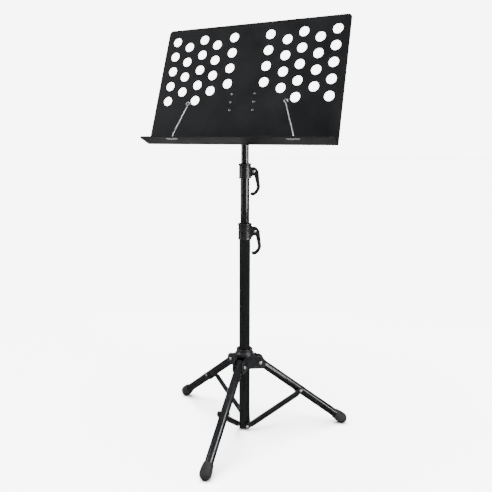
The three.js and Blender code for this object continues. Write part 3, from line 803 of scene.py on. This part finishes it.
def add_tilt_bolt():
    six = [(5.4 * MM * math.cos(a), 5.4 * MM * math.sin(a)) for a in [math.radians(60 * i) for i in range(6)]]
    head = ease_edges(slab("tilt_bolt_steel", six, [], -14.6 * MM, -10.7 * MM), 0.5 * MM, 2)
    shank = rod(BOLT_R - 0.05 * MM, -11.4 * MM, 23 * MM, Matrix.Identity(4))
    weld(head, shank)
    return hand_over(head, PIVOT @ ALONG_X, plated, "bright_wire", "desk", "tilt_bolt")


def add_washer():
    ring = [(3.3 * MM, 10.8 * MM), (6.7 * MM, 10.8 * MM), (6.7 * MM, 12.2 * MM), (3.3 * MM, 12.2 * MM)]
    washer = turned("tilt_washer_steel", eased(ring, 0.25 * MM), 48)
    return hand_over(washer, PIVOT @ ALONG_X, plated, "bright_wire", "desk", "tilt_washer")


def add_knob():
    def lobed(grow):
        points = []
        for i in range(90):
            a = 2 * math.pi * i / 90
            r = (9.3 + 1.25 * math.cos(5 * a)) * MM + grow
            points.append((r * math.cos(a), r * math.sin(a)))
        return points

    grip = slab("tilt_knob_moulding", lobed(0), [], KNOB_LOW + 4 * MM, KNOB_HIGH)
    ease_edges(grip, 1.4 * MM, 4)
    weld(grip, rod(KNOB_BOSS_R, KNOB_LOW, KNOB_LOW + 6 * MM, Matrix.Identity(4)))
    drill(grip, rod(BOLT_R + GAP, KNOB_LOW - 1 * MM, KNOB_HIGH + 1 * MM, Matrix.Identity(4)))
    return hand_over(grip, PIVOT @ ALONG_X, moulding, "clamp_plastic", "tilt_knob", "tilt_knob")


for piece in (add_tilt_bolt(), add_washer(), add_knob()):
    print("made", piece.name)

# %% [markdown]
# ## The tubes
# The upper and middle tubes are plain drawn tube with eased ends, so they are turned. The lower tube is round
# too, but its bottom end is pressed to three flats, one for each strut. A press moves the wall from round
# to three-sided over a short length, so the tube is lofted: the radius at each angle and height is blended.

# %% Draw the three tubes
LOWER_R, MIDDLE_R, UPPER_R = 12.5 * MM, 10.1 * MM, 8.7 * MM
LOWER_WALL, MIDDLE_WALL, UPPER_WALL = 1.2 * MM, 1.1 * MM, 1.0 * MM
STRUT_X, STRUT_Z = 4 * MM, 7 * MM
PRESSED_FLAT, PRESSED_CORNER = 9.3 * MM, 13.6 * MM
PRESSED_TOP, BLEND_TOP = 16 * MM, 42 * MM


def add_plain_tube(name, node, body, radius, wall):
    low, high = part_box(node)
    ring = [(radius - wall, low.z), (radius, low.z), (radius, high.z), (radius - wall, high.z)]
    tube = turned(name, eased(ring, 0.3 * MM, 2), 80)
    return hand_over(tube, Matrix.Identity(4), gloss, "gloss_paint", body, node)


def pressed_radius(angle, z, flats):
    nearest = min(abs((angle - flat + math.pi) % (2 * math.pi) - math.pi) for flat in flats)
    flat = min(PRESSED_FLAT / math.cos(nearest), PRESSED_CORNER)
    t = min(max((z - PRESSED_TOP) / (BLEND_TOP - PRESSED_TOP), 0), 1)
    t = t * t * (3 - 2 * t)
    return flat * (1 - t) + LOWER_R * t


def add_lower_tube():
    low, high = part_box("lower_tube")
    flats = []
    for leg in LEGS:
        tangent = leg_axes(leg)[1]
        flats.append(math.atan2(-tangent.y, -tangent.x))
    levels = [low.z, low.z + 0.3 * MM, PRESSED_TOP]
    levels += [PRESSED_TOP + (BLEND_TOP - PRESSED_TOP) * k / 10 for k in range(1, 11)]
    levels += [high.z - 0.3 * MM, high.z]
    outside = [(z, -0.25 * MM if z in (low.z, high.z) else 0) for z in levels]
    inside = [(z, -LOWER_WALL) for z in reversed(levels)]
    loops = outside + inside
    steps = 108
    vertices, faces = [], []
    for z, offset in loops:
        for i in range(steps):
            a = 2 * math.pi * i / steps
            r = pressed_radius(a, z, flats) + offset
            vertices.append((r * math.cos(a), r * math.sin(a), z))
    for k in range(len(loops)):
        for i in range(steps):
            j, m = (i + 1) % steps, (k + 1) % len(loops)
            faces.append((k * steps + i, k * steps + j, m * steps + j, m * steps + i))
    tube = object_of("lower_tube_pressed", vertices, faces)
    for leg in LEGS:
        place = upright_frame(leg) @ shift(STRUT_X, 0, STRUT_Z) @ ALONG_MINUS_Y
        drill(tube, rod(2.65 * MM, 5 * MM, 14 * MM, place, 24))
    return hand_over(tube, Matrix.Identity(4), gloss, "gloss_paint", "lower_column", "lower_tube")


add_plain_tube("upper_tube_drawn", "upper_tube", "upper_column", UPPER_R, UPPER_WALL)
add_plain_tube("middle_tube_drawn", "middle_tube", "middle_column", MIDDLE_R, MIDDLE_WALL)
print("lower tube:", len(add_lower_tube().data.polygons), "faces")

# %% [markdown]
# ## The lever clamps
# Each clamp is a split collar on the top of a tube, squeezed by a lever on a pin. The collar is turned, its
# two ears are slabs welded on, and the bore, the pin hole and the split are cut afterwards, as they would be
# machined. The lever is a hook in side view: three smooth curves and a round head, cut as a slab and rounded.

# %% Mould the collars, bushes, levers and pins
LOWER = {
    "label": "lower", "body": "lower_column", "tube": LOWER_R, "slider": MIDDLE_R,
    "r": 14.8 * MM, "pin": 21.8 * MM, "height": 36 * MM,
}
UPPER = {
    "label": "upper", "body": "middle_column", "tube": MIDDLE_R, "slider": UPPER_R,
    "r": 13.2 * MM, "pin": 18.6 * MM, "height": 33 * MM,
}
PIN_DROP = 17.6 * MM
EAR_R, EAR_IN, EAR_OUT = 9.6 * MM, 4.4 * MM, 6.9 * MM
PIN_R = 2.3 * MM
LEVER_HALF = 4 * MM


def collar_profile(size, top, seat):
    low, r, bore = top - size["height"], size["r"], size["tube"] + GAP
    neck = size["slider"] + 3.4 * MM
    return [
        (bore, low), (r + 0.5 * MM, low), (r + 0.6 * MM, low + 2.5 * MM), (r, low + 4 * MM),
        (r, top - 5 * MM), (r + 1.1 * MM, top - 2.5 * MM), (r + 1.0 * MM, top),
        (neck, top), (neck, top - 9 * MM), (bore, seat),
    ]


def collar_ear(size, pin_z):
    r, pin = size["r"], size["pin"]
    ear = [(r - 2.2 * MM, pin_z - 15 * MM), (r + 0.6 * MM, pin_z - 14 * MM)]
    ear += [(pin - 2.6 * MM, pin_z - 9.3 * MM)]
    ear += arc(pin, pin_z, EAR_R, -105, 108, 30)
    return ear + [(r - 0.4 * MM, pin_z + 12 * MM), (r - 2.2 * MM, pin_z + 12 * MM)]


def add_collar(size, top, seat, place):
    pin_z = top - PIN_DROP
    profile = eased(collar_profile(size, top, seat), 0.7 * MM, 4)
    collar = turned(f"{size['label']}_collar_moulding", profile, 96)
    for low in (EAR_IN, -EAR_OUT):
        ear = slab("ear", collar_ear(size, pin_z), [], low, low + EAR_OUT - EAR_IN)
        ease_edges(ear, 0.5 * MM, 2)
        weld(collar, moved(ear, ALONG_MINUS_Y))
    bore = rod(size["tube"] + GAP, top - size["height"] - 1 * MM, seat, Matrix.Identity(4), 96)
    hole = rod(PIN_R + GAP, -12 * MM, 12 * MM, shift(size["pin"], 0, pin_z) @ ALONG_MINUS_Y, 32)
    slot_half, near, far = 1 * MM, size["tube"] - 3 * MM, size["r"] + 4 * MM
    split = [(near, -slot_half), (far, -slot_half), (far, slot_half), (near, slot_half)]
    drill(collar, bore, hole, slab("split", split, [], top - size["height"] - 1 * MM, top + 1 * MM))
    return hand_over(collar, place, moulding, "clamp_plastic", size["body"], f"{size['label']}_clamp_collar")


def add_bush(size, top, place):
    inner, neck = size["slider"] + 0.2 * MM, size["slider"] + 3.4 * MM
    ring = [(inner, top - 8 * MM), (neck - GAP, top - 8 * MM), (neck - GAP, top + 0.3 * MM)]
    ring += [(inner + 1.4 * MM, top + 0.9 * MM), (inner, top + 0.9 * MM)]
    bush = turned(f"{size['label']}_bush_moulding", eased(ring, 0.3 * MM), 80)
    return hand_over(bush, place, moulding, "clamp_plastic", size["body"], f"{size['label']}_clamp_bush")


def lever_outline():
    inner = [(2.6, -11), (5.6, -24), (7.6, -33), (6.8, -38.5), (3.6, -44), (-0.4, -47)]
    tip = [(-0.4, -47), (-3.6, -46.6), (-6, -48.6), (-6.4, -51.8), (-3.4, -54)]
    outer = [(-3.4, -54), (2, -53.2), (7, -49.8), (11.2, -44.8), (14, -39), (15, -33), (13.6, -22), (11.6, 0)]
    outline = arc(0, 0, 4.5, 35, 285, 24)
    for run in (inner, tip, outer):
        outline += smooth_curve(run, 5)
    outline += [(11, 1.8)]
    scaled = []
    for x, z in outline:
        point = (x * MM, z * MM)
        if not scaled or (Vector(scaled[-1]) - Vector(point)).length > 0.05 * MM:
            scaled.append(point)
    return scaled


def add_lever(size, top, place):
    label, hole = size["label"], circle(0, 0, PIN_R + GAP, 28)
    lever = slab(f"{label}_lever_moulding", lever_outline(), [hole], -LEVER_HALF, LEVER_HALF)
    ease_edges(lever, 1.1 * MM, 4, 50)
    at_pin = place @ shift(size["pin"], 0, top - PIN_DROP) @ ALONG_MINUS_Y
    return hand_over(lever, at_pin, moulding, "clamp_plastic", f"{label}_lever", f"{label}_clamp_lever")


def add_clamp_pin(size, top, place):
    end = EAR_OUT + GAP
    dome = [(3.6 * MM, end), (3.4 * MM, end + 0.7 * MM), (2.5 * MM, end + 1.25 * MM), (0, end + 1.45 * MM)]
    profile = [(r, -z) for r, z in reversed(dome)] + [(PIN_R, -end), (PIN_R, end)] + dome
    pin = turned(f"{size['label']}_clamp_rivet", eased(profile, 0.25 * MM, 2), 40)
    at_pin = place @ shift(size["pin"], 0, top - PIN_DROP) @ ALONG_MINUS_Y
    return hand_over(pin, at_pin, plated, "bright_wire", size["body"], f"{size['label']}_clamp_pin")


for size, tube_node in ((LOWER, "lower_tube"), (UPPER, "middle_tube")):
    place = clamp_frame(f"{size['label']}_lever_turn")
    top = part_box(f"{size['label']}_clamp_collar")[1].z
    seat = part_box(tube_node)[1].z + GAP
    parts = (add_collar(size, top, seat, place), add_bush(size, top, place))
    parts += (add_lever(size, top, place), add_clamp_pin(size, top, place))
    print("clamp:", [part.name for part in parts])

# %% [markdown]
# ## The hub
# The hub is a pressed steel bracket: a sleeve that slides on the lower tube, a flange on top, and three pairs
# of ears that hold the legs. A moulded ring sits on the flange, and a screw through it grips the tube. The
# ears are slabs with one large round corner. They are welded to the sleeve, and then the bore is cut.

# %% Press the hub, its ring and its screw
HUB_BORE, HUB_SLEEVE, HUB_FLANGE = 12.9 * MM, 16.5 * MM, 21.5 * MM
EAR_THICK = 2.4 * MM
EAR_NEAR = 10 * MM
LEG_PIN_X = 35 * MM
LEG_PIN_R, LEG_PIN_HOLE_R = 3 * MM, 3.3 * MM


def hub_ear(bottom, top, z):
    far = 47 * MM
    ear = [(10 * MM, bottom), (far - 6 * MM, bottom), (far, bottom + 6 * MM), (far, z)]
    ear += arc(far - 13 * MM, z + 1 * MM, 13 * MM, 4, 90, 14)
    return ear + [(HUB_FLANGE - 2 * MM, top), (10 * MM, top)]


def add_hub():
    bottom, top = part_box("hub_bracket")[0].z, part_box("hub_bracket")[1].z
    z = joints["right_leg_fold"]["pos_m"][2]
    sleeve = [(HUB_BORE, bottom), (HUB_SLEEVE, bottom), (HUB_SLEEVE, top - 2.4 * MM)]
    sleeve += [(HUB_FLANGE, top - 2.4 * MM), (HUB_FLANGE, top), (HUB_BORE, top)]
    hub = turned("pressed_hub", eased(sleeve, 0.6 * MM), 96)
    for leg in LEGS:
        for low in (EAR_NEAR, -EAR_NEAR - EAR_THICK):
            hole = circle(LEG_PIN_X, z, LEG_PIN_HOLE_R, 28)
            ear = slab("ear", hub_ear(bottom, top, z), [hole], low, low + EAR_THICK)
            ease_edges(ear, 0.4 * MM, 2, 50)
            weld(hub, moved(ear, upright_frame(leg) @ ALONG_MINUS_Y))
    drill(hub, rod(HUB_BORE, bottom - 1 * MM, top + 1 * MM, Matrix.Identity(4), 96))
    return hand_over(hub, Matrix.Identity(4), dark_pressing, "powder_coat", "hub", "hub_bracket")


def add_hub_ring():
    low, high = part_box("hub_ring")[0].z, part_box("hub_ring")[1].z
    ring = [
        (HUB_BORE, low), (21.6 * MM, low), (22 * MM, low + 1.2 * MM), (21.4 * MM, low + 4.6 * MM),
        (18.8 * MM, low + 7.4 * MM), (18.4 * MM, high - 2.6 * MM), (19.2 * MM, high - 1.4 * MM),
        (18.6 * MM, high), (15.2 * MM, high), (HUB_BORE, high - 2 * MM),
    ]
    made = turned("hub_ring_moulding", eased(ring, 0.8 * MM, 4), 96)
    drill(made, rod(1.9 * MM, 10 * MM, 30 * MM, screw_place(high), 24))
    return hand_over(made, Matrix.Identity(4), moulding, "clamp_plastic", "hub", "hub_ring")


def screw_place(high):
    return Matrix.Rotation(math.radians(7), 4, "Z") @ shift(0, 0, high - 9 * MM) @ ALONG_X


def add_hub_screw():
    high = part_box("hub_ring")[1].z
    body = [(0, 13.2 * MM), (1.55 * MM, 13.2 * MM), (1.55 * MM, 21.9 * MM), (3.1 * MM, 21.9 * MM)]
    body += [(3.0 * MM, 23.2 * MM), (2.0 * MM, 23.9 * MM), (0, 24 * MM)]
    screw = turned("hub_ring_screw", eased(body, 0.3 * MM), 36)
    slot = [(-4 * MM, -0.35 * MM), (4 * MM, -0.35 * MM), (4 * MM, 0.35 * MM), (-4 * MM, 0.35 * MM)]
    drill(screw, slab("slot", slot, [], 23.1 * MM, 25 * MM))
    return hand_over(screw, screw_place(high), plated, "bright_wire", "hub", "hub_screw")


for piece in (add_hub(), add_hub_ring(), add_hub_screw()):
    print("made", piece.name, len(piece.data.polygons), "faces")

# %% [markdown]
# ## Legs, feet and saddles
# All three legs are alike, so each of their pieces has one function, and a loop makes three of it. The tube
# is turned along X, from its pin outward. The rubber foot has a flared shoulder and a round end that is worn
# flat on the floor. The saddle is a strap bent under the leg, with a round ear on each side for a rivet
# through the leg. The leg pin is a rivet whose head has a dimple at each end.

# %% Make the three legs
LEG_LENGTH = 251 * MM
LEG_R, LEG_WALL = 9.5 * MM, 1.2 * MM
LEG_TOP = 12 * MM
FOOT_R = 12.85 * MM
JOINT_ALONG = 120 * MM
SADDLE_OUT, SADDLE_HALF = 11.7 * MM, 6 * MM


def add_leg_tube(leg):
    inner, start = LEG_R - LEG_WALL, -LEG_TOP
    ring = [(inner, start), (LEG_R, start), (LEG_R, LEG_LENGTH), (inner, LEG_LENGTH)]
    tube = moved(turned(f"{leg}_leg_tube", eased(ring, 0.3 * MM, 2), 72), ALONG_X)
    drill(tube, rod(LEG_PIN_HOLE_R, -12 * MM, 12 * MM, ALONG_MINUS_Y, 28))
    drill(tube, rod(PIN_R + GAP, -12 * MM, 12 * MM, shift(JOINT_ALONG) @ ALONG_MINUS_Y, 28))
    return hand_over(tube, leg_frame(leg), gloss, "gloss_paint", f"{leg}_leg", f"{leg}_leg")


def add_foot(leg):
    bore = LEG_R + GAP
    flare = [(11.3 * MM, -20.4 * MM), (11.8 * MM, -16 * MM), (12.7 * MM, -9 * MM), (FOOT_R, 0)]
    profile = [(bore, -21 * MM), (11.0 * MM, -21 * MM)] + smooth_curve(flare, 5)
    profile += arc(0, 0, FOOT_R, 6, 90, 16) + [(0, GAP), (bore, GAP)]
    foot = turned(f"{leg}_rubber_foot", profile, 72)
    moved(foot, leg_frame(leg) @ shift(LEG_LENGTH) @ ALONG_X)
    wide = 0.6
    square = [(-wide, -wide), (wide, -wide), (wide, wide), (-wide, wide)]
    drill(foot, slab("under", square, [], FLOOR_Z - 60 * MM, FLOOR_Z))
    return hand_over(foot, Matrix.Identity(4), rubber, "foot_rubber", f"{leg}_leg", f"{leg}_foot")


def add_saddle(leg):
    inner, outer = LEG_R + GAP, SADDLE_OUT
    strap = arc(0, 0, outer, 0, -180, 32) + arc(0, 0, inner, -180, 0, 32)
    band = moved(slab(f"{leg}_saddle_strap", strap, [], -SADDLE_HALF, SADDLE_HALF), CROSSWAYS)
    for y in (inner, -outer):
        weld(band, rod(SADDLE_HALF, -y - outer + inner, -y, ALONG_MINUS_Y, 40))
    drill(band, rod(PIN_R + GAP, -20 * MM, 20 * MM, ALONG_MINUS_Y, 28))
    ease_edges(band, 0.35 * MM, 2, 50)
    place = leg_frame(leg) @ shift(JOINT_ALONG)
    return hand_over(band, place, dark_pressing, "powder_coat", f"{leg}_leg", f"{leg}_leg_saddle")


def add_saddle_rivet(leg):
    face, end = SADDLE_OUT + GAP, SADDLE_OUT - 0.1 * MM
    profile = [(0, -face - 1.45 * MM), (2.3 * MM, -face - 1.35 * MM), (3.5 * MM, -face - 0.7 * MM)]
    profile += [(3.8 * MM, -face), (PIN_R, -face), (PIN_R, end), (0, end)]
    rivet = turned(f"{leg}_saddle_rivet_head", eased(profile, 0.3 * MM, 3), 40)
    place = leg_frame(leg) @ shift(JOINT_ALONG) @ ALONG_MINUS_Y
    return hand_over(rivet, place, plated, "bright_wire", f"{leg}_leg", f"{leg}_saddle_rivet")


def add_leg_pin(leg):
    end = EAR_NEAR + EAR_THICK + GAP
    dome = [(3.9 * MM, end), (3.75 * MM, end + 0.9 * MM), (3.0 * MM, end + 1.5 * MM)]
    dome += [(2.1 * MM, end + 1.55 * MM), (1.5 * MM, end + 0.7 * MM), (0, end + 0.6 * MM)]
    profile = [(r, -z) for r, z in reversed(dome)] + [(LEG_PIN_R, -end), (LEG_PIN_R, end)] + dome
    pin = turned(f"{leg}_leg_rivet", eased(profile, 0.3 * MM, 3), 48)
    place = frame_from(Vector(joints[f"{leg}_leg_fold"]["pos_m"]), *upright_axes(leg))
    return hand_over(pin, place @ ALONG_MINUS_Y, plated, "bright_wire", "hub", f"{leg}_leg_pin")


for leg in LEGS:
    parts = (add_leg_tube(leg), add_foot(leg), add_saddle(leg), add_saddle_rivet(leg), add_leg_pin(leg))
    print(leg, "leg:", [len(part.data.polygons) for part in parts], "faces")

# %% [markdown]
# ## Struts and their rivets
# A strut is a thin pressed channel with flat round ends. Its web faces the leg and its lips turn outward, so
# each strut passes beside the lower tube and beside its leg. The rivets show as bright round heads. Only the
# inner rivet has a spacer, which holds the strut off the pressed flat of the tube.

# %% Make the three struts
STRUT_IN, STRUT_HALF = 12.8 * MM, 6 * MM
STRUT_WEB, STRUT_LIP, STRUT_SHEET = 1.5 * MM, 3.2 * MM, 1.3 * MM
SPACER_R = 4.3 * MM


def strut_line():
    x = LEG_PIN_X + JOINT_ALONG * math.cos(LEG_FALL) - STRUT_X
    z = joints["right_leg_fold"]["pos_m"][2] - JOINT_ALONG * math.sin(LEG_FALL) - STRUT_Z
    return math.hypot(x, z), math.atan2(z, x)


def strut_frame(leg):
    rise = strut_line()[1]
    return upright_frame(leg) @ shift(STRUT_X, 0, STRUT_Z) @ Matrix.Rotation(-rise, 4, "Y")


def add_strut(leg):
    length = strut_line()[0]
    side = arc(length, 0, STRUT_HALF, -90, 90, 18) + arc(0, 0, STRUT_HALF, 90, 270, 18)
    holes = [circle(x, 0, PIN_R + GAP, 24) for x in (0, length)]
    strut = slab(f"{leg}_pressed_strut", side, holes, STRUT_IN, STRUT_IN + STRUT_WEB)
    for z in (STRUT_HALF - STRUT_SHEET, -STRUT_HALF):
        a, b = 8 * MM, length - 8 * MM
        foot, rim = STRUT_IN + 0.2 * MM, STRUT_IN + STRUT_WEB + STRUT_LIP
        step = foot + 1.4 * MM
        ramp = [(a, foot), (b, foot), (b, step), (b - 4 * MM, rim), (a + 4 * MM, rim), (a, step)]
        lip = slab("lip", ramp, [], z, z + STRUT_SHEET)
        weld(strut, moved(lip, ON_EDGE))
    moved(strut, ALONG_MINUS_Y)
    ease_edges(strut, 0.3 * MM, 2, 50)
    return hand_over(strut, strut_frame(leg), dark_pressing, "powder_coat", f"{leg}_brace", f"{leg}_strut")


def strut_rivet(name, start, spacer):
    face = STRUT_IN + STRUT_WEB + GAP
    profile = [(0, start), (PIN_R, start)]
    if spacer:
        low, high = PRESSED_FLAT + GAP, STRUT_IN - GAP
        profile += [(PIN_R, low), (SPACER_R, low), (SPACER_R, high), (PIN_R, high)]
    profile += [(PIN_R, face), (3.4 * MM, face), (3.25 * MM, face + 0.8 * MM), (2.5 * MM, face + 1.35 * MM)]
    profile += [(1.4 * MM, face + 1.6 * MM), (0, face + 1.65 * MM)]
    return moved(turned(name, eased(profile, 0.25 * MM, 2), 40), ALONG_MINUS_Y)


for leg in LEGS:
    strut = add_strut(leg)
    outer = strut_rivet(f"{leg}_outer_rivet_head", 12 * MM, False)
    inner = strut_rivet(f"{leg}_inner_rivet_head", 6.6 * MM, True)
    far = strut_frame(leg) @ shift(strut_line()[0])
    hand_over(outer, far, plated, "bright_wire", f"{leg}_brace", f"{leg}_strut_outer_rivet")
    hand_over(inner, strut_frame(leg), plated, "bright_wire", "lower_column", f"{leg}_strut_inner_rivet")
    print(leg, "strut is", round(strut_line()[0] / MM, 1), "mm between its rivets")

# %% [markdown]
# ## What stays as it is
# The plug under the lower tube and the two guides inside the tubes are plain mouldings, mostly out of sight.
# Their shapes in the frame are right, so they stay, and only take the moulded finish.

# %% Finish the pieces that stay
for node in ("tube_end_plug", "middle_tube_guide", "upper_tube_guide"):
    piece = frame["nodes"][node]
    piece.data.materials.clear()
    piece.data.materials.append(moulding)
    print("finished", node)
